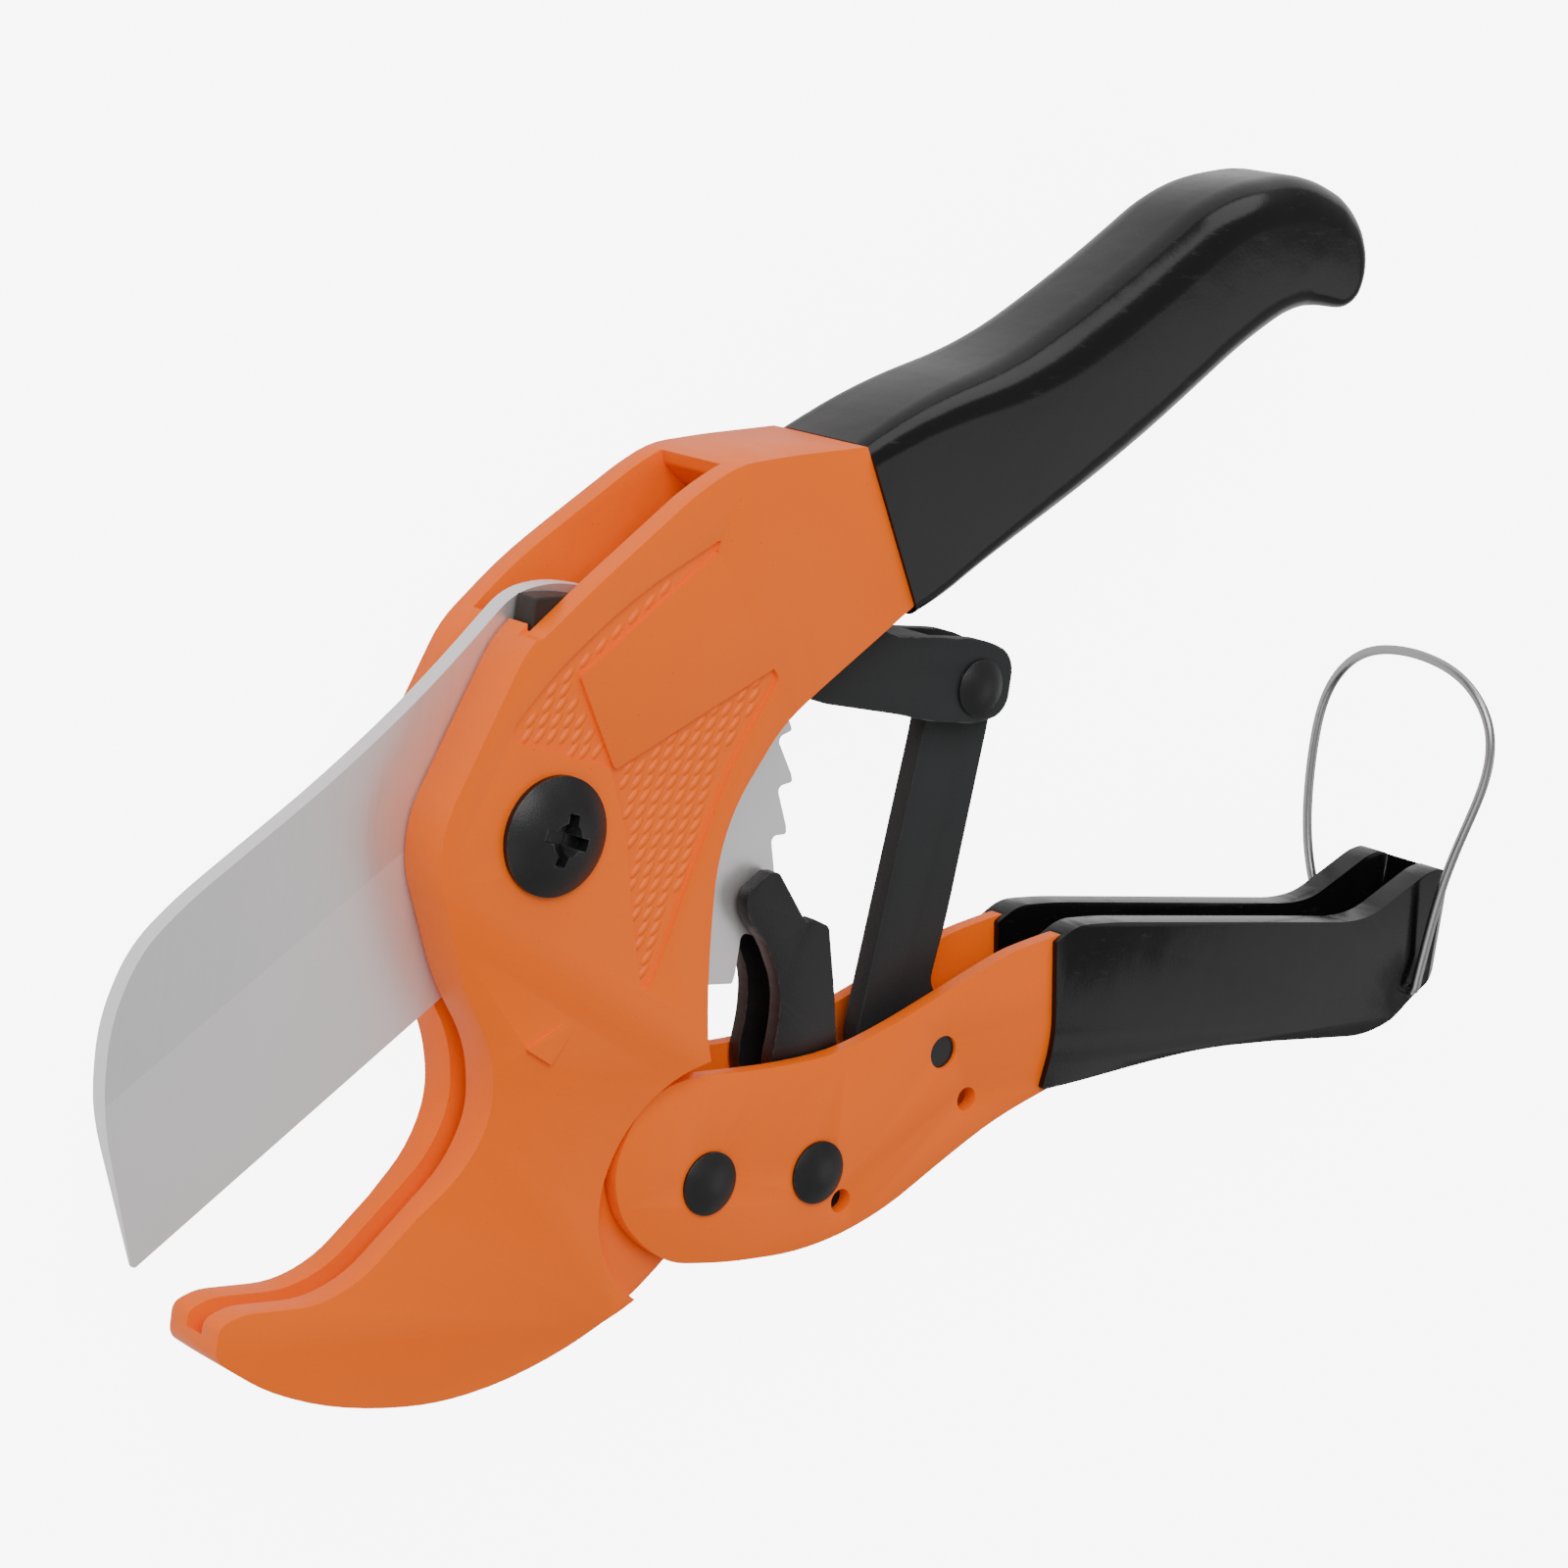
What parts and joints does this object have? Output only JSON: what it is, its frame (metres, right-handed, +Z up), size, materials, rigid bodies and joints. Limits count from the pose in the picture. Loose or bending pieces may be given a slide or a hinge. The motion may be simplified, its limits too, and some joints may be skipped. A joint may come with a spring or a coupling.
{
  "type": "ratchet pipe cutter",
  "caption": "Hand-held ratchet cutter for plastic pipe: hooked jaw, swinging toothed blade, ratchet lever with knee linkage, dipped grips and a wire latch.",
  "frame": {"origin": "on the main pivot's axis, in the plane of the pivot nut's outer face, on which the tool lies", "axes": "+X along the handles away from the jaw, +Y towards the fixed grip's side, +Z up along every pivot axis, towards the pivot screw's head"},
  "size_m": [0.2235, 0.1585, 0.0353],
  "materials": {
    "orange_paint": "satin orange enamel on cast metal",
    "black_grip": "glossy black dipped vinyl",
    "ground_blade": "fine ground stainless",
    "black_guide": "satin black-brown lacquer",
    "black_oxide": "oiled black oxide",
    "black_sheet": "satin black lacquer on pressed steel",
    "plain_steel": "turned",
    "spring_steel": "drawn wire",
    "nylon": "natural",
    "bright_wire": "bright plated wire"
  },
  "bodies": {
    "casting": {"body_casting": "orange_paint", "fixed_handle_sleeve": "black_grip", "blade_guide": "black_guide", "pivot_screw": "black_oxide", "pivot_washer": "black_oxide", "pivot_nut": "black_oxide", "pivot_nut_ring": "nylon", "pivot_bush": "plain_steel", "blade_spring": "spring_steel", "knee_body_pin": "plain_steel"},
    "blade": {"blade": "ground_blade"},
    "lever": {"lever": "orange_paint", "lever_sleeve": "black_grip", "lever_rivet": "black_oxide", "lever_washers": "nylon", "pawl_rivet": "black_oxide", "pawl_washers": "nylon", "pawl_spring": "spring_steel", "knee_lever_pin": "black_oxide"},
    "drive_pawl": {"drive_pawl": "black_oxide"},
    "lower_arm": {"knee_lower_arm": "black_sheet", "elbow_rivet": "black_oxide", "elbow_washers": "nylon"},
    "upper_arm": {"knee_upper_arm": "black_sheet"},
    "holding_pawl": {"holding_pawl": "black_oxide"},
    "bail": {"wire_bail": "bright_wire"}
  },
  "joints": [
    {"name": "blade_hinge", "type": "hinge", "parent": "casting", "child": "blade", "pos_m": [0, 0, 0.018], "axis": [0, 0, 1], "range_deg": [-46, 30]},
    {"name": "lever_hinge", "type": "hinge", "parent": "casting", "child": "lever", "pos_m": [0.034, -0.0454, 0.018], "axis": [0, 0, 1], "range_deg": [-12, 24]},
    {"name": "drive_pawl_hinge", "type": "hinge", "parent": "lever", "child": "drive_pawl", "pos_m": [0.0521, -0.0451, 0.018], "axis": [0, 0, 1], "range_deg": [-29, 15]},
    {"name": "knee_lever_hinge", "type": "hinge", "parent": "lever", "child": "lower_arm", "pos_m": [0.0714, -0.0301, 0.018], "axis": [0, 0, 1], "range_deg": [-35, 18]},
    {"name": "knee_elbow_hinge", "type": "hinge", "parent": "lower_arm", "child": "upper_arm", "pos_m": [0.07, 0.018, 0.018], "axis": [0, 0, 1], "range_deg": [-21, 41]},
    {"name": "holding_pawl_hinge", "type": "hinge", "parent": "casting", "child": "holding_pawl", "pos_m": [0.042, 0.0245, 0.018], "axis": [0, 0, 1], "range_deg": [-12, 0]},
    {"name": "bail_hinge", "type": "hinge", "parent": "lever", "child": "bail", "pos_m": [0.163, -0.0246, 0.018], "axis": [0, 0, 1], "range_deg": [-60, 62]}
  ],
  "couplings": [
    {"joint": "drive_pawl_hinge", "follows": "lever_hinge", "ratio": -1.2},
    {"joint": "knee_lever_hinge", "follows": "lever_hinge", "ratio": -1.45},
    {"joint": "knee_elbow_hinge", "follows": "lever_hinge", "ratio": 1.7}
  ]
}
